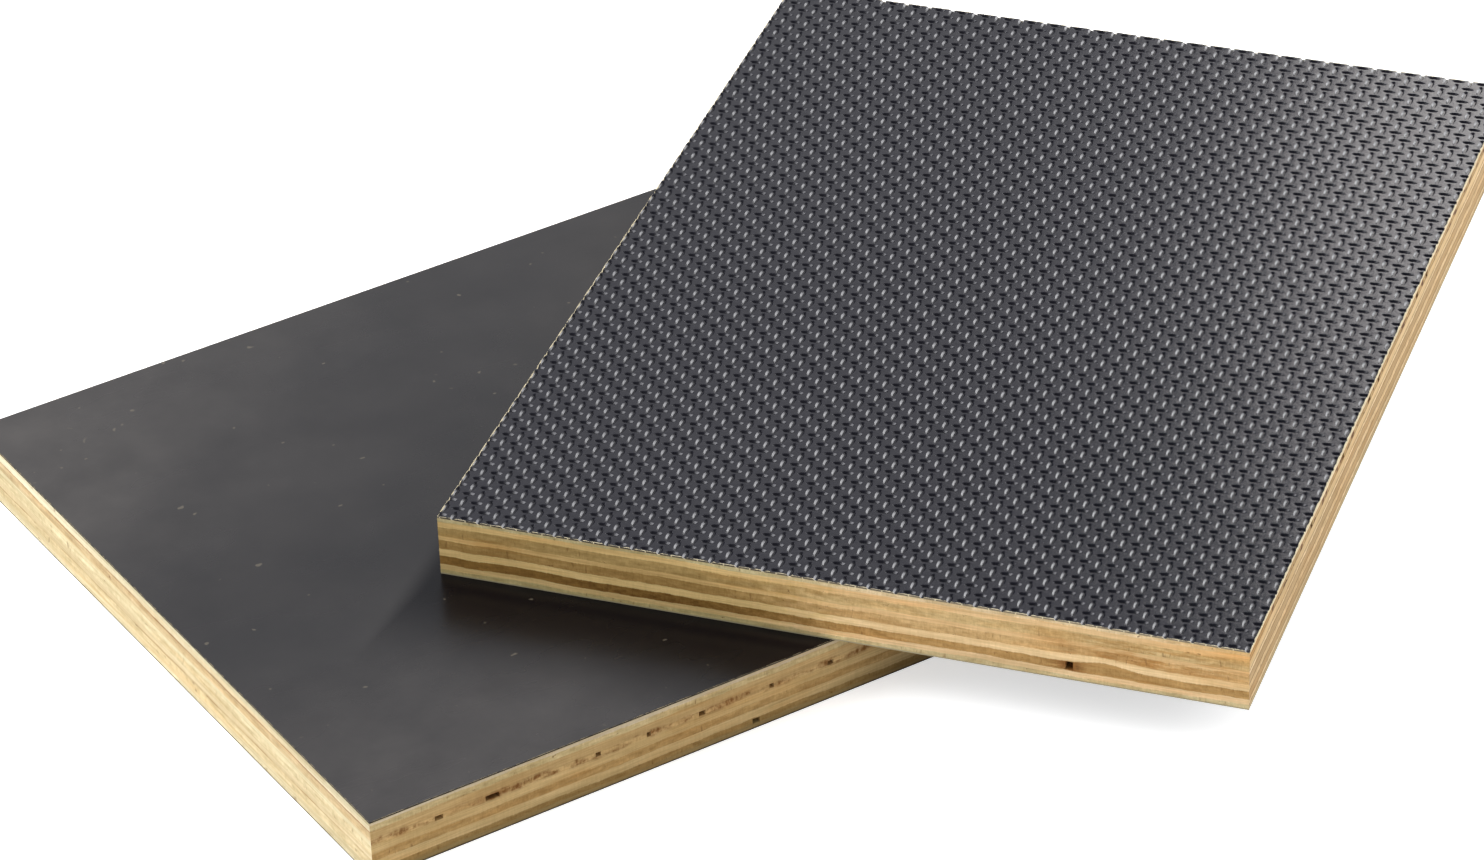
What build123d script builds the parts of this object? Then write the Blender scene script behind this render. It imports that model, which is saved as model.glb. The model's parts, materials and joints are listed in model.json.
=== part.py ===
from build123d import *
import os

# Two offcuts of film-faced plywood, the upper one with a wire-mesh face, lie one on the other.
# The origin is the centre of the lower sheet's underside. +X runs along that sheet's long edge,
# +Y along its short edge away from the front, and +Z is up.

# One sheet
sheet_length = 293.0
sheet_width = 218.0
smooth_film = 0.4
mesh_film = 0.5

# Veneers of one sheet from its face down: name, thickness and whether the grain runs lengthwise
veneers = [
    ("face_veneer", 1.0, True),
    ("upper_crossband", 1.7, False),
    ("upper_long_ply", 2.9, True),
    ("thin_crossband", 1.4, False),
    ("centre_ply", 2.7, True),
    ("thick_crossband", 2.2, False),
    ("lower_long_ply", 2.5, True),
    ("lower_crossband", 1.6, False),
    ("back_veneer", 1.1, True),
]

# The upper sheet has slipped along the lower one and turned askew, in degrees
upper_slip_x = 105.3
upper_slip_y = -18.0
upper_turn = 38.8

# A core gap is where two strips of one veneer don't meet. It runs in from the sawn edge along the
# grain, so a crosswise veneer shows it in the front edge and a lengthwise one in the left end.
# Each has its distance from the left end, or from the back edge, and its width.
core_gap_depth = 14.0
lower_sheet_gaps = {
    "thin_crossband": [
        (19.5, 2.4),
        (35.0, 4.0),
        (66.0, 1.6),
        (81.0, 1.2),
        (97.0, 2.0),
        (118.0, 1.4),
        (136.0, 1.8),
    ],
    "lower_crossband": [(113.0, 2.2)],
}
upper_sheet_gaps = {
    "upper_crossband": [
        (62.5, 2.0),
        (96.0, 2.0),
        (124.5, 3.0),
        (135.0, 2.0),
        (179.0, 2.2),
        (190.0, 2.0),
    ],
    "lower_long_ply": [(171.0, 2.0)],
}

ON_BASE = (Align.CENTER, Align.CENTER, Align.MIN)


def layer(thickness):
    """A full sheet of film or veneer with its underside at z = 0."""
    return Box(sheet_length, sheet_width, thickness, align=ON_BASE)


def core_gap(lengthwise, distance, width, thickness):
    """The slot of one core gap through a veneer, open at the sawn edge that cuts its grain."""
    if lengthwise:
        mouth = Pos(-sheet_length / 2, sheet_width / 2 - distance, 0)
        return mouth * Box(2 * core_gap_depth, width, thickness, align=ON_BASE)
    mouth = Pos(distance - sheet_length / 2, -sheet_width / 2, 0)
    return mouth * Box(width, 2 * core_gap_depth, thickness, align=ON_BASE)


def sheet(face_film, face_film_thickness, gaps):
    """A sheet's layers by name, from its bottom film at z = 0 upwards, and its height."""
    layers = {"bottom_film": layer(smooth_film)}
    height = smooth_film
    for name, thickness, lengthwise in reversed(veneers):
        veneer = layer(thickness)
        for distance, width in gaps.get(name, []):
            veneer -= core_gap(lengthwise, distance, width, thickness)
        layers[name] = Pos(0, 0, height) * veneer
        height += thickness
    layers[face_film] = Pos(0, 0, height) * layer(face_film_thickness)
    return layers, height + face_film_thickness


os.makedirs("parts", exist_ok=True)

lower_sheet, lower_height = sheet("top_film", smooth_film, lower_sheet_gaps)
for name, solid in lower_sheet.items():
    export_step(solid, f"parts/lower_sheet_{name}.step")

upper_sheet, upper_height = sheet("mesh_film", mesh_film, upper_sheet_gaps)
upper_place = Pos(upper_slip_x, upper_slip_y, lower_height) * Rot(0, 0, upper_turn)
for name, solid in upper_sheet.items():
    export_step(upper_place * solid, f"parts/upper_sheet_{name}.step")

print("sheets", round(lower_height, 3), round(upper_height, 3), "mm thick")
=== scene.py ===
import json
import math

import bmesh
import bpy
from mathutils import Matrix, Vector


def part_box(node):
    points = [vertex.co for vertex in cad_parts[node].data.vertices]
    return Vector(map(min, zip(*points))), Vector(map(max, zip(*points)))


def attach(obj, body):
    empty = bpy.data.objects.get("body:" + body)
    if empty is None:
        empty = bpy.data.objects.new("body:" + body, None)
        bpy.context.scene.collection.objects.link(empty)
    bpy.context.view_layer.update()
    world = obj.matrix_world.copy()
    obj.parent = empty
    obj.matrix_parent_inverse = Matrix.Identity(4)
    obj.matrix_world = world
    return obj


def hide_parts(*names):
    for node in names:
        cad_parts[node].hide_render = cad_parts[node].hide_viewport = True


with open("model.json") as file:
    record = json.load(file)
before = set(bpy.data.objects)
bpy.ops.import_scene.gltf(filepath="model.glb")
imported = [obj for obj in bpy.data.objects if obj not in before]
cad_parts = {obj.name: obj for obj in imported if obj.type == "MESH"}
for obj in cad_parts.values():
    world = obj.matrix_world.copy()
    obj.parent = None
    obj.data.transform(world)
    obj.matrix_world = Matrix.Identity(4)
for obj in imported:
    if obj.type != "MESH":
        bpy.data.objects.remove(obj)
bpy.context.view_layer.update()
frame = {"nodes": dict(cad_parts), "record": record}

# Both sheets, in metres, as in the part. The lower one is 0.1 mm less high than this.
SHEET_LENGTH = 0.293
SHEET_WIDTH = 0.218
SHEET_HEIGHT = 0.018
UPPER_PLACE = Vector((0.1053, -0.018, 0))
UPPER_TURN = math.radians(38.8)
LOWER_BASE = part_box("lower_sheet_bottom_film")[0].z
UPPER_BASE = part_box("upper_sheet_bottom_film")[0].z
FILM_BASE, FILM_TOP = (corner.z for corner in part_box("upper_sheet_mesh_film"))

VENEERS = ("face_veneer", "upper_crossband", "upper_long_ply", "thin_crossband", "centre_ply",
           "thick_crossband", "lower_long_ply", "lower_crossband", "back_veneer")

# The photograph's camera: its place, the point at the picture's middle, its lean and lens
CAMERA_PLACE = Vector((-0.6977, -1.1975, 0.9244))
CAMERA_AIM = Vector((0.00984, -0.03604, 0.0359))
CAMERA_LEAN = math.radians(-2.08)
CAMERA_LENS = 148.68

# Woven wire pressed into the mesh film, in a plain weave: the distance from wire to wire along and
# across the sheet, and the boat-shaped marks that the wires leave where they are uppermost, each with
# its length, its width and the share of its half length over which its rim keeps wide
WIRE_ALONG = 0.00368
WIRE_ACROSS = 0.00355
LENGTHWISE_MARK = (0.0050, 0.0016, 0.84)
CROSSWISE_MARK = (0.0042, 0.0018, 0.62)
MARK_DEPTH = 0.00045
# How wide a mark's rim is at its shoulders, as a share of its own width
SHOULDER_WIDTH = 0.70
# A mark's flat bottom, as shares of the mark's half length and width: its tips, its flanks, how much
# nearer than the rim's its shoulders are, and their width
BOTTOM_TIP, BOTTOM_FLANK, BOTTOM_SHOULDER_IN, BOTTOM_SHOULDER_WIDTH = 0.70, 0.36, 0.24, 0.28
# How far the film swells between four crossings
CUSHION_RISE = 0.00004

# Each ring of a mark is modelled this far under the last one
RING_STEP = 0.01
# The inset that makes a ring before it is set to its shape
RING_INSET = 0.00001
# Vertices as near as this in x or y are in line, and as near as this in z are in one ring
IN_LINE = 0.00001
IN_RING = 0.001
# Vertices of neighbouring marks as near as this are merged
SAME_PLACE = 0.00001


def camera():
    data = bpy.data.cameras.new("camera")
    data.lens = CAMERA_LENS
    data.clip_start = 0.05
    data.clip_end = 20
    eye = bpy.data.objects.new("camera", data)
    bpy.context.scene.collection.objects.link(eye)
    aim = (CAMERA_AIM - CAMERA_PLACE).to_track_quat("-Z", "Y").to_matrix()
    turn = (aim @ Matrix.Rotation(CAMERA_LEAN, 3, "Z")).to_4x4()
    eye.matrix_world = Matrix.Translation(CAMERA_PLACE) @ turn
    bpy.context.scene.camera = eye


camera()


# Materials


def grey(level):
    return (level, level, level, 1)


def srgb(red, green, blue):
    """A colour as it looks, 0 to 255, in the linear values that shaders take."""
    shares = (c / 255 for c in (red, green, blue))
    return tuple(s / 12.92 if s <= 0.04045 else ((s + 0.055) / 1.055) ** 2.4 for s in shares) + (1,)


class Nodes:
    """Adds nodes to the tree of one material or world and joins them."""

    def __init__(self, owner):
        self.owner = owner
        owner.use_nodes = True
        self.tree = owner.node_tree
        self.tree.nodes.clear()

    def add(self, kind, values=None, **settings):
        node = self.tree.nodes.new(kind)
        for key, value in settings.items():
            setattr(node, key, value)
        for key, value in (values or {}).items():
            self.put(node.inputs[key], value)
        return node

    def put(self, socket, value):
        if isinstance(value, bpy.types.NodeSocket):
            self.tree.links.new(value, socket)
        else:
            socket.default_value = value

    def finish(self, shader, output="ShaderNodeOutputMaterial"):
        self.tree.links.new(shader, self.add(output).inputs["Surface"])
        return self.owner

    def math(self, operation, *values):
        return self.add("ShaderNodeMath", dict(enumerate(values)), operation=operation).outputs[0]

    def plus(self, total, *values):
        for value in values:
            total = self.math("ADD", total, value)
        return total

    def times(self, product, *values):
        for value in values:
            product = self.math("MULTIPLY", product, value)
        return product

    def minus(self, a, b):
        return self.math("SUBTRACT", a, b)

    def larger(self, a, b):
        return self.math("MAXIMUM", a, b)

    def below(self, value, limit):
        return self.math("LESS_THAN", value, limit)

    def choose(self, factor, a, b):
        """A value that is a where the factor is 0 and b where it is 1."""
        return self.add("ShaderNodeMix", {"Factor": factor, 2: a, 3: b}, data_type="FLOAT").outputs[0]

    def mix(self, factor, a, b, blend="MIX"):
        """A colour that is a where the factor is 0 and b where it is 1."""
        values = {"Factor": factor, 6: a, 7: b}
        return self.add("ShaderNodeMix", values, data_type="RGBA", blend_type=blend).outputs[2]

    def tint(self, factor, colour, by):
        return self.mix(factor, colour, by, blend="MULTIPLY")

    def ramp(self, value, stops):
        node = self.add("ShaderNodeValToRGB", {0: value})
        elements = node.color_ramp.elements
        while len(elements) < len(stops):
            elements.new(1.0)
        for element, (place, colour) in zip(elements, stops):
            element.position = place
            element.color = colour
        return node.outputs[0]

    def spread(self, value, low, high, to_low=0.0, to_high=1.0, smooth=False):
        """A value's range from low to high drawn out to another range, and held past its ends."""
        values = {"Value": value, "From Min": low, "From Max": high, "To Min": to_low, "To Max": to_high}
        kind = "SMOOTHSTEP" if smooth else "LINEAR"
        return self.add("ShaderNodeMapRange", values, interpolation_type=kind).outputs[0]

    def near(self, value, centre, reach):
        """1 at a centre, falling smoothly to 0 at a reach from it."""
        away = self.math("ABSOLUTE", self.minus(value, centre))
        return self.spread(away, 0.0, reach, 1.0, 0.0, smooth=True)

    def between(self, value, low, high, soft):
        """1 between two values, falling smoothly to 0 past them."""
        above = self.spread(value, low - soft, low + soft, smooth=True)
        return self.times(above, self.spread(value, high - soft, high + soft, 1.0, 0.0, smooth=True))

    def noise(self, vector, scale, detail, roughness=0.5):
        values = {"Vector": vector, "Scale": scale, "Detail": detail, "Roughness": roughness}
        return self.add("ShaderNodeTexNoise", values).outputs["Fac"]

    def drawn(self, vector, scales, detail, roughness=0.5, turn=0.0):
        """Noise with a scale of its own along each axis, turned about the second one."""
        values = {"Vector": vector, "Scale": scales, "Rotation": (0, turn, 0)}
        return self.noise(self.add("ShaderNodeMapping", values).outputs[0], 1.0, detail, roughness)

    def surface(self, colour, roughness, gloss, *, gloss_tint=(1, 1, 1, 1), height, distance, strength):
        """A principled shader over the bumps of a height."""
        bumps = self.add("ShaderNodeBump", {"Height": height, "Distance": distance, "Strength": strength})
        values = {"Base Color": colour, "Roughness": roughness, "Specular IOR Level": gloss,
                  "Specular Tint": gloss_tint, "Normal": bumps.outputs[0]}
        return self.finish(self.add("ShaderNodeBsdfPrincipled", values).outputs[0])


class OnSheet:
    """Places on one sheet in its own axes: x along it, y across it, z up from its underside."""

    def __init__(self, nodes, name, place, turn, base):
        self.nodes, self.name, self.base = nodes, name, base
        source = nodes.add("ShaderNodeTexCoord").outputs["Object"]
        values = {0: source, 1: (place.x, place.y, base)}
        moved = nodes.add("ShaderNodeVectorMath", values, operation="SUBTRACT").outputs[0]
        values = {"Vector": moved, "Angle": -turn}
        self.where = nodes.add("ShaderNodeVectorRotate", values, rotation_type="Z_AXIS").outputs[0]
        self.x, self.y, self.z = nodes.add("ShaderNodeSeparateXYZ", {"Vector": self.where}).outputs
        self.from_short_edge = nodes.minus(SHEET_LENGTH / 2, nodes.math("ABSOLUTE", self.x))
        self.from_long_edge = nodes.minus(SHEET_WIDTH / 2, nodes.math("ABSOLUTE", self.y))
        self.from_edge = nodes.math("MINIMUM", self.from_long_edge, self.from_short_edge)
        self.short_edge = nodes.below(self.from_short_edge, self.from_long_edge)
        self.long_edge = nodes.minus(1.0, self.short_edge)

    def left_end(self):
        return self.nodes.times(self.short_edge, self.nodes.below(self.x, 0.0))

    def front_edge(self):
        return self.nodes.times(self.long_edge, self.nodes.below(self.y, 0.0))

    def past_left_end(self):
        return self.nodes.minus(-SHEET_LENGTH / 2, self.x)

    def past_back_edge(self):
        return self.nodes.minus(self.y, SHEET_WIDTH / 2)


LOWER = {"name": "lower_sheet", "place": Vector((0, 0, 0)), "turn": 0.0, "base": LOWER_BASE}
UPPER = {"name": "upper_sheet", "place": UPPER_PLACE, "turn": UPPER_TURN, "base": UPPER_BASE}

# The films

# As near as this to a sheet's edge, a point of its film lies on the sawn side
ON_SIDE = 0.00001
# How far in from the arrises the film is chipped to the pale veneer
SMOOTH_FILM_CHIPS = 0.00012
MESH_FILM_CHIPS = 0.00024
SMOOTH_FILM_WORN = srgb(160, 146, 118)
MESH_FILM_WORN = srgb(206, 194, 162)
# The film's own near-black, and the colour of its dust and painted sheen
CLEAN_FILM = (0.0018, 0.0019, 0.0038, 1)
DUST_AND_SHEEN_FILM = (0.061, 0.056, 0.054, 1)
SPECKS = srgb(150, 140, 120)
SPECK_STRENGTH = 0.22
# Blue-black, in the lightest and darkest patches, and darker at the bottom of the wire's marks as painted
# shade
MESH_FILM_DARK = (0.006, 0.006, 0.012, 1)
MESH_FILM_LIGHT = (0.01, 0.01, 0.016, 1)
MARK_BOTTOM_SHADE = (0.002, 0.002, 0.006, 1)
# The mesh film's sawn ends, from the sheet's front to its back: painted shade darkens them towards the
# back, where the left end stands over the lower sheet's dark film
MESH_END_FRONT = srgb(128, 116, 94)
MESH_END_BACK_SHADED = srgb(80, 74, 62)
SAWN_ROUGHNESS, SAWN_GLOSS = 0.75, 0.15


def worn_edges(nodes, sheet, reach):
    """Where the film is chipped along the arrises, up to a reach from them."""
    chips = nodes.noise(sheet.where, 620.0, 3.0, 0.6)
    return nodes.below(sheet.from_edge, nodes.spread(chips, 0.36, 0.6, 0.0, reach))


def clear_of_foot_shade(nodes):
    """How far a place is out of the painted shade at the upper sheet's foot, where the film is kept clean
    of dust
    and painted sheen, with less gloss: 0 under the upper sheet and at its foot, 1 from 50 mm before its
    left end. Past its back edge the film opens up six times as fast."""
    upper = OnSheet(nodes, **UPPER)
    clear = nodes.larger(upper.past_left_end(), nodes.times(upper.past_back_edge(), 6.0))
    return nodes.spread(clear, 0.004, 0.05, smooth=True)


def dust_and_sheen(nodes, sheet, cloud, out_of_foot_shade):
    """Cloudy dust, with a painted sheen that makes the film lightest at the back left corner. It is lighter
    near the front left one as well.
    """
    # Painted sheen: the film lighter towards the back left corner
    back_left = nodes.spread(nodes.minus(sheet.y, sheet.x), 0.10, 0.26, smooth=True)
    front_left = nodes.times(nodes.near(sheet.x, -0.12, 0.11), nodes.near(sheet.y, -0.10, 0.10))
    anywhere = nodes.spread(cloud, 0.35, 0.7, 0.08, 0.34)
    patches = nodes.spread(nodes.noise(sheet.where, 48.0, 4.0, 0.6), 0.3, 0.7, 0.75, 1.25)
    thickness = nodes.plus(nodes.times(back_left, 0.6), nodes.times(front_left, 0.5), anywhere)
    return nodes.times(thickness, out_of_foot_shade, patches)


def smooth_film(name, sheet_at, bottom_side, top_side):
    """Dark phenolic film off a polished press plate: a low sheen with smears, dust and a painted sheen, a
    few pale specks, painted shade at the upper sheet's foot, where the film is kept black and less glossy,
    and the matt sawn sides of a sheet's bottom and top film."""
    nodes = Nodes(bpy.data.materials.new(name))
    sheet = OnSheet(nodes, **sheet_at)
    cloud = nodes.noise(sheet.where, 11.0, 4.0, 0.55)
    smear = nodes.drawn(sheet.where, (20, 55, 20), 3.0, 0.6)
    grain = nodes.noise(sheet.where, 900.0, 2.0, 0.6)
    specks = nodes.spread(nodes.noise(sheet.where, 420.0, 0.0), 0.85, 0.89)
    # Painted shade at the upper sheet's foot: no dust, no sheen and less gloss there
    out_of_foot_shade = clear_of_foot_shade(nodes)
    colour = nodes.mix(dust_and_sheen(nodes, sheet, cloud, out_of_foot_shade), CLEAN_FILM, DUST_AND_SHEEN_FILM)
    colour = nodes.mix(nodes.times(specks, SPECK_STRENGTH), colour, SPECKS)
    worn = worn_edges(nodes, sheet, SMOOTH_FILM_CHIPS)
    colour = nodes.mix(worn, colour, SMOOTH_FILM_WORN)
    upper_half = nodes.math("GREATER_THAN", sheet.z, SHEET_HEIGHT / 2)
    side = nodes.below(sheet.from_edge, ON_SIDE)
    colour = nodes.mix(side, colour, nodes.mix(upper_half, srgb(*bottom_side), srgb(*top_side)))
    sawn = nodes.larger(side, worn)
    sheen = nodes.plus(nodes.spread(cloud, 0.3, 0.7, 0.23, 0.31),
                       nodes.spread(smear, 0.35, 0.65, -0.02, 0.05))
    sheen = nodes.choose(sawn, sheen, SAWN_ROUGHNESS)
    # Less gloss in the painted shade at the upper sheet's foot
    gloss = nodes.choose(sawn, nodes.spread(out_of_foot_shade, 0.0, 1.0, 0.2, 0.5), SAWN_GLOSS)
    return nodes.surface(colour, sheen, gloss, gloss_tint=(0.94, 0.94, 1, 1),
                         height=grain, distance=0.00001, strength=0.5)


def pressed_film(name):
    """Phenolic film with the wire's marks in it and painted shade at their bottoms, its sawn ends darker
    towards the back with painted shade, and duller towards the back of the sheet.
    """
    nodes = Nodes(bpy.data.materials.new(name))
    sheet = OnSheet(nodes, **UPPER)
    cloud = nodes.noise(sheet.where, 9.0, 3.0)
    grain = nodes.noise(sheet.where, 1500.0, 3.0, 0.6)
    uneven = nodes.noise(sheet.where, 260.0, 2.0)
    colour = nodes.mix(nodes.spread(cloud, 0.3, 0.7), MESH_FILM_DARK, MESH_FILM_LIGHT)
    # Painted shade: the film darker at the bottom of the wire's marks
    top = FILM_TOP - UPPER_BASE
    colour = nodes.mix(nodes.spread(sheet.z, top - 0.0004, top - 0.00006), MARK_BOTTOM_SHADE, colour)
    worn = worn_edges(nodes, sheet, MESH_FILM_CHIPS)
    colour = nodes.mix(worn, colour, MESH_FILM_WORN)
    end = nodes.below(nodes.math("ABSOLUTE", sheet.from_short_edge), ON_SIDE)
    # Painted shade: the sawn ends darker towards the back of the sheet
    end_colour = nodes.mix(nodes.spread(sheet.y, -0.06, 0.04), MESH_END_FRONT, MESH_END_BACK_SHADED)
    colour = nodes.mix(end, colour, end_colour)
    sheen = nodes.plus(nodes.spread(grain, 0.3, 0.7, 0.21, 0.27),
                       nodes.spread(sheet.y, -0.06, 0.10, 0.0, 0.05))
    sheen = nodes.choose(nodes.larger(worn, end), sheen, SAWN_ROUGHNESS)
    relief = nodes.plus(nodes.times(grain, 0.2), uneven)
    return nodes.surface(colour, sheen, gloss=0.42, gloss_tint=(0.95, 0.95, 1, 1),
                         height=relief, distance=0.00016, strength=0.5)


# The sawn edges

# Edge colours of the veneers, from the face veneer down to the back veneer
UPPER_SHORT_EDGE = ((227, 203, 163), (230, 196, 146), (207, 178, 127), (219, 184, 133), (201, 166, 114),
                    (231, 200, 151), (181, 143, 88), (224, 193, 148), (201, 182, 138))
UPPER_LONG_EDGE = ((228, 205, 168), (176, 146, 98), (206, 178, 133), (216, 190, 149), (180, 151, 108),
                   (206, 178, 135), (179, 148, 103), (206, 182, 140), (182, 160, 120))
LOWER_SHORT_EDGE = ((198, 188, 156), (213, 203, 172), (198, 176, 137), (208, 195, 158), (208, 192, 153),
                    (206, 188, 150), (209, 191, 151), (207, 192, 155), (213, 201, 166))
LOWER_LONG_EDGE = ((208, 191, 160), (202, 180, 131), (196, 164, 112), (203, 169, 115), (207, 176, 122),
                   (190, 154, 98), (213, 184, 131), (171, 139, 85), (168, 144, 96))
UPPER_GLUE = (124, 88, 50)
# Painted shade: what is left of each veneer's colour on the back half of the upper sheet's left end, which
# stands over the lower sheet's dark film
SHADE_OVER_LOWER_FILM = ((222, 229, 214), (245, 245, 222), (220, 214, 190), (245, 245, 226), (212, 206, 178),
               (250, 250, 228), (204, 196, 164), (246, 247, 224), (240, 243, 226))
PORES = srgb(110, 74, 34)
# How far a veneer keeps its own colour off its glue lines, with and without glue that shows
OFF_GLUE, OFF_NEIGHBOUR = 0.0003, 0.00009

# Heights in a sheet from its underside, between which its plies have marks of their own
TORN_PLIES = (0.0078, 0.0150)
STAINED_PLY = (0.0031, 0.0056)
PITTED_PLY = (0.0148, 0.0166)
MARKED_PLY = (0.0102, 0.0124)
# Two glue lines that show brown at the lower sheet's left end: their heights and what they leave of
# the wood's colour
BROWN_LINES = ((0.0147, (0.5, 0.32, 0.2, 1)), (0.0057, (0.62, 0.48, 0.32, 1)))


def ply_stops(sheet, colours, glue=None):
    """Ramp stops up a sheet's edge: each veneer's colour, and the glue lines between them if they show."""
    stops = []
    soft = OFF_GLUE if glue else OFF_NEIGHBOUR
    for veneer, colour in reversed(list(zip(VENEERS, colours))):
        low, high = (corner.z - sheet.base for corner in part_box(f"{sheet.name}_{veneer}"))
        if glue and stops:
            stops.append((low / SHEET_HEIGHT, srgb(*glue)))
        stops.append(((low + soft) / SHEET_HEIGHT, srgb(*colour)))
        stops.append(((high - soft) / SHEET_HEIGHT, srgb(*colour)))
    return stops


def upper_history(nodes, sheet, edge, height, colour):
    """The upper sheet's own marks and painted shade: at the left end, painted shade on the back half, which
    stands over the lower sheet's dark film and is deepest in a stained ply, resin at the corner, torn wood
    and a knot, and pits in the front edge."""
    left_end = sheet.left_end()
    ragged = nodes.drawn(edge, (420, 1, 900), 3.0, 0.6)
    # Painted shade on the back half of the left end, over the lower sheet's dark film, with a ragged edge
    fading = nodes.plus(sheet.y, nodes.spread(ragged, 0.3, 0.7, -0.012, 0.012))
    shade_over_film = nodes.times(nodes.spread(fading, -0.018, 0.032, smooth=True), left_end)
    share = nodes.math("DIVIDE", height, SHEET_HEIGHT)
    colour = nodes.tint(shade_over_film, colour, nodes.ramp(share, ply_stops(sheet, SHADE_OVER_LOWER_FILM)))

    from_corner = nodes.larger(nodes.plus(sheet.x, SHEET_LENGTH / 2), nodes.plus(sheet.y, SHEET_WIDTH / 2))
    at_corner = nodes.spread(from_corner, 0.004, 0.034, 1.0, 0.0)
    resin = nodes.times(at_corner, nodes.spread(height, 0.0125, 0.0152))
    colour = nodes.tint(resin, colour, (1.0, 0.84, 0.62, 1))

    pits = nodes.spread(nodes.drawn(edge, (380, 1, 520), 1.0), 0.57, 0.64)
    pits = nodes.times(pits, sheet.front_edge(), nodes.between(height, *PITTED_PLY, 0.0002))
    colour = nodes.tint(pits, colour, (0.28, 0.16, 0.06, 1))

    strands = nodes.drawn(edge, (150, 1, 1100), 3.0, 0.6, turn=0.4)
    torn = nodes.times(nodes.near(sheet.y, -0.085, 0.045), nodes.between(height, *TORN_PLIES, 0.0006))
    torn = nodes.times(torn, nodes.times(left_end, nodes.spread(strands, 0.42, 0.6)))
    colour = nodes.tint(torn, colour, (0.8, 0.67, 0.5, 1))

    stained = nodes.between(height, *STAINED_PLY, 0.0003)
    knot = nodes.times(nodes.near(sheet.y, -0.0615, 0.008), nodes.spread(strands, 0.4, 0.52))
    colour = nodes.tint(nodes.times(knot, left_end, stained), colour, (0.5, 0.34, 0.2, 1))
    # Painted shade, deepest in the stained ply where the left end stands over the lower sheet's dark film
    deepest_painted_shade = nodes.times(nodes.near(sheet.y, 0.05, 0.045), nodes.spread(ragged, 0.35, 0.6), left_end)
    return nodes.tint(nodes.times(deepest_painted_shade, stained, 0.8), colour, (0.5, 0.42, 0.3, 1))


def upper_lens(nodes, sheet):
    """How far a patch of wood lifts the plies of the upper sheet's left end."""
    lens = nodes.times(nodes.near(sheet.y, -0.072, 0.014), nodes.near(sheet.z, 0.0068, 0.0032))
    return nodes.times(lens, sheet.left_end(), 0.0011)


def lower_history(nodes, sheet, edge, height, colour):
    """The lower sheet's brown marks: two glue lines at the left end, and blots in the front edge."""
    dashes = nodes.spread(nodes.drawn(edge, (150, 1, 240), 3.0, 0.6), 0.4, 0.55, 0.25, 1.0)
    for line, tone in BROWN_LINES:
        along_line = nodes.times(nodes.near(height, line, 0.00042), dashes)
        colour = nodes.tint(nodes.times(along_line, sheet.left_end()), colour, tone)
    blots = nodes.spread(nodes.drawn(edge, (170, 1, 420), 3.0, 0.6), 0.44, 0.57)
    ticks = nodes.drawn(edge, (900, 1, 420), 2.0, 0.6)
    blots = nodes.times(blots, nodes.spread(ticks, 0.35, 0.6, 0.25, 1.0))
    worst = nodes.times(nodes.near(sheet.x, -0.1118, 0.0065), nodes.spread(ticks, 0.3, 0.55, 0.4, 1.0))
    marked = nodes.between(height, *MARKED_PLY, 0.0006)
    marks = nodes.times(nodes.larger(blots, worst), marked, sheet.front_edge())
    return nodes.tint(marks, colour, (0.4, 0.26, 0.15, 1))


def no_lift(nodes, sheet):
    return 0.0


def along_edges(nodes, sheet, shortened):
    """Places on the four sawn edges: along the edge, which edge it is, and the height. The marks on the
    short edges are drawn over a shortened length."""
    along = nodes.choose(sheet.short_edge, sheet.x, nodes.times(sheet.y, shortened))
    which = nodes.times(nodes.math("SIGN", nodes.choose(sheet.short_edge, sheet.y, sheet.x)), 0.37)
    which = nodes.plus(which, nodes.times(sheet.short_edge, 1.9))
    return nodes.add("ShaderNodeCombineXYZ", {"X": along, "Y": which, "Z": sheet.z}).outputs[0]


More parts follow.
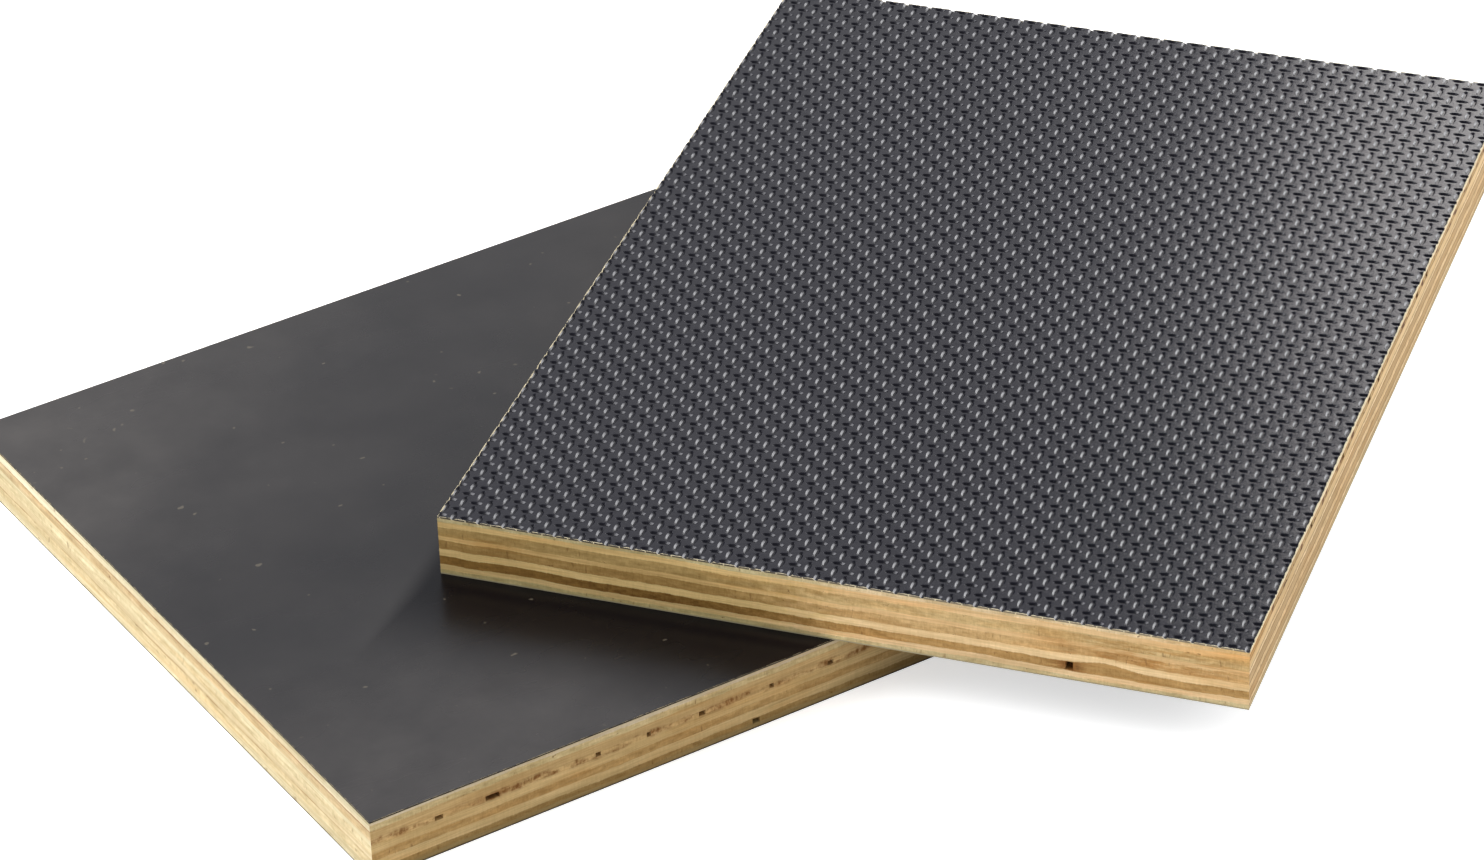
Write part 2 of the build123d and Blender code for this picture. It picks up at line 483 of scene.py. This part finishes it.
def wood(name, lengthwise, sheet_at, short_edges, long_edges, glue, shortened, lift, history):
    """Sawn birch edges. A lengthwise veneer shows end grain on the short edges and side grain on the
    long ones. Glue shows on the long edges only."""
    nodes = Nodes(bpy.data.materials.new(name))
    sheet = OnSheet(nodes, **sheet_at)
    edge = along_edges(nodes, sheet, shortened)

    # The plies wander a little up and down, and the saw has left its marks
    sway = nodes.drawn(edge, (32, 1, 60), 2.0)
    ripple = nodes.drawn(edge, (230, 1, 120), 2.0)
    sawn = nodes.drawn(edge, (1500, 1, 260), 2.0, 0.6)
    height = sheet.z
    for wander, by in ((sway, 0.0005), (ripple, 0.00018), (sawn, 0.0001)):
        height = nodes.plus(height, nodes.spread(wander, 0.2, 0.8, -by, by))
    height = nodes.minus(height, lift(nodes, sheet))
    share = nodes.math("DIVIDE", height, SHEET_HEIGHT)
    colour = nodes.mix(sheet.short_edge, nodes.ramp(share, ply_stops(sheet, long_edges, glue)),
                       nodes.ramp(share, ply_stops(sheet, short_edges)))

    patch = nodes.drawn(edge, (45, 1, 420), 3.0, 0.55)
    streak = nodes.drawn(edge, (90, 1, 3200), 3.0, 0.6)
    mottle = nodes.drawn(edge, (260, 1, 950), 4.0, 0.62)
    fuzz = nodes.drawn(edge, (2100, 1, 620), 4.0, 0.65)
    end_grain = sheet.short_edge if lengthwise else sheet.long_edge
    on_ends = nodes.times(nodes.spread(mottle, 0.3, 0.7, 0.78, 1.16),
                          nodes.spread(fuzz, 0.3, 0.7, 0.88, 1.08))
    tone = nodes.choose(end_grain, nodes.spread(streak, 0.3, 0.7, 0.84, 1.1), on_ends)
    tone = nodes.times(tone, nodes.spread(patch, 0.3, 0.7, 0.88, 1.1))
    tone = nodes.times(tone, nodes.spread(sawn, 0.3, 0.7, 0.95, 1.04))
    # Darker wood is browner too
    shades = {"Red": tone, "Green": nodes.math("POWER", tone, 1.15), "Blue": nodes.math("POWER", tone, 1.5)}
    colour = nodes.tint(1.0, colour, nodes.add("ShaderNodeCombineColor", shades).outputs[0])
    rosy = nodes.spread(nodes.drawn(edge, (38, 1, 330), 3.0, 0.6), 0.5, 0.72)
    colour = nodes.tint(rosy, colour, (1.0, 0.91, 0.8, 1))
    colour = history(nodes, sheet, edge, height, colour)

    # Checks and pores open where the grain ends
    check = nodes.spread(nodes.drawn(edge, (900, 1, 260), 2.0, turn=0.5), 0.66, 0.76, 0.0, 0.5)
    pore = nodes.spread(nodes.drawn(edge, (520, 1, 700), 2.0, 0.6), 0.69, 0.77, 0.0, 0.7)
    hollow = nodes.times(end_grain, nodes.larger(check, pore))
    colour = nodes.mix(hollow, colour, PORES)
    relief = nodes.plus(nodes.times(nodes.choose(end_grain, streak, fuzz), 0.6),
                        nodes.minus(nodes.times(sawn, 0.5), hollow))
    return nodes.surface(colour, roughness=0.78, gloss=0.2, height=relief, distance=0.00014, strength=0.7)


LOWER_WOOD = {"sheet_at": LOWER, "short_edges": LOWER_SHORT_EDGE, "long_edges": LOWER_LONG_EDGE,
              "glue": None, "shortened": 0.42, "lift": no_lift, "history": lower_history}
UPPER_WOOD = {"sheet_at": UPPER, "short_edges": UPPER_SHORT_EDGE, "long_edges": UPPER_LONG_EDGE,
              "glue": UPPER_GLUE, "shortened": 1.0, "lift": upper_lens, "history": upper_history}
FINISHES = {
    "lower_film": smooth_film("lower_film", LOWER, bottom_side=(66, 57, 44), top_side=(44, 38, 28)),
    "upper_film": smooth_film("upper_film", UPPER, bottom_side=(160, 150, 120), top_side=(160, 150, 120)),
    "mesh_film": pressed_film("mesh_film"),
    "lower_long_grain": wood("lower_long_grain", lengthwise=True, **LOWER_WOOD),
    "lower_cross_grain": wood("lower_cross_grain", lengthwise=False, **LOWER_WOOD),
    "upper_long_grain": wood("upper_long_grain", lengthwise=True, **UPPER_WOOD),
    "upper_cross_grain": wood("upper_cross_grain", lengthwise=False, **UPPER_WOOD),
}
for part in frame["record"]["subparts"]:
    node = frame["nodes"][part["node"]]
    node.data.materials.clear()
    node.data.materials.append(FINISHES[part["material_slot"]])


# The mesh film


def deselect():
    if bpy.context.object and bpy.context.object.mode != "OBJECT":
        bpy.ops.object.mode_set(mode="OBJECT")
    bpy.ops.object.select_all(action="DESELECT")


def pick(piece, chosen):
    """Selects the vertices that chosen() accepts, in edit mode, and the faces and edges between them."""
    bpy.ops.mesh.select_mode(type="VERT")
    bpy.ops.mesh.select_all(action="DESELECT")
    cage = bmesh.from_edit_mesh(piece.data)
    for vertex in cage.verts:
        vertex.select = bool(chosen(vertex.co))
    cage.select_flush_mode()
    bmesh.update_edit_mesh(piece.data)


def resize(scale, middle=(0, 0, 0)):
    bpy.ops.transform.resize(value=scale, center_override=middle)


def set_ring(piece, level, tip, flank, corner):
    """Sets one ring of an eight-cornered mark: its two tips, its two flanks and the four corners between
    them. Leaves the ring selected."""
    def in_ring(co):
        return abs(co.z - level) < IN_RING

    ring = [v.co.copy() for v in bmesh.from_edit_mesh(piece.data).verts if in_ring(v.co)]
    old_tip = max(co.x for co in ring if abs(co.y) < IN_LINE)
    old_flank = max(co.y for co in ring if abs(co.x) < IN_LINE)
    old_corner = max((co for co in ring if min(co.x, co.y) > IN_LINE), key=lambda co: co.x * co.y)
    middle = (0, 0, level)
    pick(piece, lambda co: in_ring(co) and abs(co.y) < IN_LINE)
    resize((tip / old_tip, 1, 1), middle)
    pick(piece, lambda co: in_ring(co) and abs(co.x) < IN_LINE)
    resize((1, flank / old_flank, 1), middle)
    pick(piece, lambda co: in_ring(co) and min(abs(co.x), abs(co.y)) > IN_LINE)
    resize((corner[0] / old_corner.x, corner[1] / old_corner.y, 1), middle)
    pick(piece, in_ring)


def wire_mark(x, y, lengthwise):
    """Film round one crossing with the mark of its uppermost wire: an outline, the mark's rim and its
    bottom."""
    pitch, pitch_beside = (WIRE_ALONG, WIRE_ACROSS) if lengthwise else (WIRE_ACROSS, WIRE_ALONG)
    marks = (LENGTHWISE_MARK, CROSSWISE_MARK)
    this, other = marks if lengthwise else marks[::-1]
    half, wide, shoulder = this[0] / 2, this[1] / 2, this[2]
    outline_tip = (half + pitch - other[1] / 2) / 2
    outline_flank = (wide + pitch_beside - other[0] / 2) / 2
    deselect()
    bpy.ops.mesh.primitive_circle_add(vertices=8, radius=1, fill_type="NGON")
    mark = bpy.context.object
    bpy.ops.object.mode_set(mode="EDIT")
    set_ring(mark, 0, outline_tip, outline_flank, (pitch / 2, pitch_beside / 2))
    bpy.ops.mesh.inset(thickness=RING_INSET, depth=-RING_STEP)
    set_ring(mark, -RING_STEP, half, wide, (half * shoulder, wide * SHOULDER_WIDTH))
    bpy.ops.mesh.region_to_loop()
    bpy.ops.mesh.mark_sharp()
    pick(mark, lambda co: co.z < -0.9 * RING_STEP)
    bpy.ops.mesh.inset(thickness=RING_INSET, depth=-RING_STEP)
    bottom_corner = (half * (shoulder - BOTTOM_SHOULDER_IN), wide * BOTTOM_SHOULDER_WIDTH)
    set_ring(mark, -2 * RING_STEP, half * BOTTOM_TIP, wide * BOTTOM_FLANK, bottom_corner)
    # The bottom rises to its depth, the rim to the film's surface
    resize((1, 1, MARK_DEPTH / (2 * RING_STEP)))
    pick(mark, lambda co: co.z < -0.9 * RING_STEP)
    resize((1, 1, 0))
    pick(mark, lambda co: max(abs(abs(co.x) - pitch / 2), abs(abs(co.y) - pitch_beside / 2)) < IN_LINE)
    bpy.ops.transform.translate(value=(0, 0, CUSHION_RISE))
    bpy.ops.mesh.select_all(action="SELECT")
    if not lengthwise:
        bpy.ops.transform.rotate(value=math.radians(90), orient_axis="Z", center_override=(0, 0, 0))
    bpy.ops.transform.translate(value=(x, y, 0))
    bpy.ops.object.mode_set(mode="OBJECT")
    return mark


def wire_patch():
    """Film over two by two crossings."""
    marks = [wire_mark(i * WIRE_ALONG, j * WIRE_ACROSS, i == j) for i in (0, 1) for j in (0, 1)]
    deselect()
    for mark in marks:
        mark.select_set(True)
    bpy.context.view_layer.objects.active = marks[0]
    bpy.ops.object.join()
    patch = bpy.context.object
    bpy.ops.object.mode_set(mode="EDIT")
    bpy.ops.mesh.select_all(action="SELECT")
    bpy.ops.mesh.remove_doubles(threshold=SAME_PLACE)
    bpy.ops.object.mode_set(mode="OBJECT")
    return patch


def repeat(piece, count, step):
    """Sets copies of a patch edge to edge and joins them."""
    row = piece.modifiers.new("row", "ARRAY")
    row.count = count
    row.use_relative_offset = False
    row.use_constant_offset = True
    row.constant_offset_displace = step
    row.use_merge_vertices = True
    row.merge_threshold = SAME_PLACE
    bpy.ops.object.modifier_apply(modifier=row.name)


def mesh_film():
    """The marks all over the sheet, cut to its edges, with sides down to the veneer and a flat back."""
    film = wire_patch()
    film.name = "mesh_film"
    rows = math.ceil(SHEET_LENGTH / 2 / WIRE_ALONG) + 1
    columns = math.ceil(SHEET_WIDTH / 2 / WIRE_ACROSS) + 1
    repeat(film, rows, (2 * WIRE_ALONG, 0, 0))
    repeat(film, columns, (0, 2 * WIRE_ACROSS, 0))
    bpy.ops.object.mode_set(mode="EDIT")
    bpy.ops.mesh.select_all(action="SELECT")
    middle = (-(rows - 0.5) * WIRE_ALONG, -(columns - 0.5) * WIRE_ACROSS, FILM_TOP - CUSHION_RISE)
    bpy.ops.transform.translate(value=middle)
    for side in (Vector((1, 0, 0)), Vector((-1, 0, 0)), Vector((0, 1, 0)), Vector((0, -1, 0))):
        reach = SHEET_LENGTH / 2 if side.x else SHEET_WIDTH / 2
        bpy.ops.mesh.select_all(action="SELECT")
        bpy.ops.mesh.bisect(plane_co=side * reach, plane_no=side, clear_outer=True)
    bpy.ops.mesh.select_all(action="SELECT")
    bpy.ops.mesh.region_to_loop()
    bpy.ops.mesh.mark_sharp()
    bpy.ops.mesh.extrude_region_move(TRANSFORM_OT_translate={"value": (0, 0, 0)})
    resize((1, 1, 0), (0, 0, FILM_BASE))
    bpy.ops.mesh.edge_face_add()
    bpy.ops.mesh.select_all(action="SELECT")
    bpy.ops.mesh.normals_make_consistent(inside=False)
    bpy.ops.transform.rotate(value=-UPPER_TURN, orient_axis="Z", center_override=(0, 0, 0))
    bpy.ops.object.mode_set(mode="OBJECT")
    return film


film = mesh_film()
film.data.transform(Matrix.Translation(UPPER_PLACE))
film.data.materials.clear()
film.data.materials.append(FINISHES["mesh_film"])
film.data.polygons.foreach_set("use_smooth", [True] * len(film.data.polygons))
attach(film, "root")
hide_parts("upper_sheet_mesh_film")


# Floor, background and light

FLOOR_SIZE = 12
FLOOR_SHADE = 0.9
# What the eye, gloss and glass see of the floor's own white, which lights nothing
FLOOR_WHITE = 0.6
# How high up the ceiling starts and is full, 1 straight overhead, and its level in gloss
CEILING_FROM, CEILING_TO, CEILING_LEVEL = 0.60, 0.82, 0.22
AMBIENT_ALL_ROUND, AMBIENT_OVERHEAD = 0.12, 1.5


def lit_floor():
    nodes = Nodes(bpy.data.materials.new("floor"))
    paths = nodes.add("ShaderNodeLightPath").outputs
    mirrored = nodes.larger(paths["Is Glossy Ray"], paths["Is Transmission Ray"])
    seen = nodes.larger(paths["Is Camera Ray"], mirrored)
    matt = nodes.add("ShaderNodeBsdfDiffuse", {"Color": grey(FLOOR_SHADE)}).outputs[0]
    glow = {"Color": grey(1), "Strength": nodes.times(seen, FLOOR_WHITE)}
    white = nodes.add("ShaderNodeEmission", glow).outputs[0]
    return nodes.finish(nodes.add("ShaderNodeAddShader", {0: matt, 1: white}).outputs[0])


def surroundings():
    """White all round for the camera and in gloss, under a dim ceiling; on everything else a soft light,
    most from above."""
    nodes = Nodes(bpy.data.worlds.new("surroundings"))
    way = nodes.add("ShaderNodeTexCoord").outputs["Generated"]
    up = nodes.add("ShaderNodeSeparateXYZ", {"Vector": way}).outputs["Z"]
    paths = nodes.add("ShaderNodeLightPath").outputs
    ceiling = nodes.spread(up, CEILING_FROM, CEILING_TO, 1.0, CEILING_LEVEL, smooth=True)
    through = nodes.larger(paths["Is Camera Ray"], paths["Is Transmission Ray"])
    seen = nodes.larger(through, nodes.times(paths["Is Glossy Ray"], ceiling))
    lit = nodes.minus(1.0, nodes.larger(through, paths["Is Glossy Ray"]))
    overhead = nodes.times(nodes.math("POWER", up, 2.0), AMBIENT_OVERHEAD)
    ambient = nodes.times(lit, nodes.plus(overhead, AMBIENT_ALL_ROUND))
    white = nodes.add("ShaderNodeBackground", {"Strength": nodes.plus(seen, ambient)}).outputs[0]
    bpy.context.scene.world = nodes.finish(white, "ShaderNodeOutputWorld")


def softbox(name, azimuth, elevation, distance, size, level, colour=(1, 1, 1)):
    """A soft light aimed at the stack, size wide and high. Azimuth 0 is in front and 90 on the right;
    level is its radiance."""
    a, e = math.radians(azimuth), math.radians(elevation)
    out = Vector((math.sin(a) * math.cos(e), -math.cos(a) * math.cos(e), math.sin(e)))
    data = bpy.data.lights.new(name, "AREA")
    data.shape = "RECTANGLE"
    data.size, data.size_y = size
    data.energy = level * math.pi * size[0] * size[1]
    data.color = colour
    lamp = bpy.data.objects.new(name, data)
    bpy.context.scene.collection.objects.link(lamp)
    aim = out.to_track_quat("Z", "Y").to_matrix().to_4x4()
    lamp.matrix_world = Matrix.Translation(out * distance) @ aim


deselect()
bpy.ops.mesh.primitive_plane_add(size=FLOOR_SIZE, location=(0, 0, 0))
floor = bpy.context.object
floor.name = "floor"
floor.data.materials.append(lit_floor())

surroundings()
softbox("left_key", azimuth=-117, elevation=38, distance=1.6, size=(1.0, 1.0), level=7.8)
softbox("right_strip", azimuth=92, elevation=21, distance=1.6, size=(1.0, 0.8), level=7.4)
softbox("back_right", azimuth=123, elevation=26, distance=1.3, size=(0.4, 0.4), level=4.4,
        colour=(1, 0.95, 0.9))
bpy.context.scene.view_settings.view_transform = "Standard"
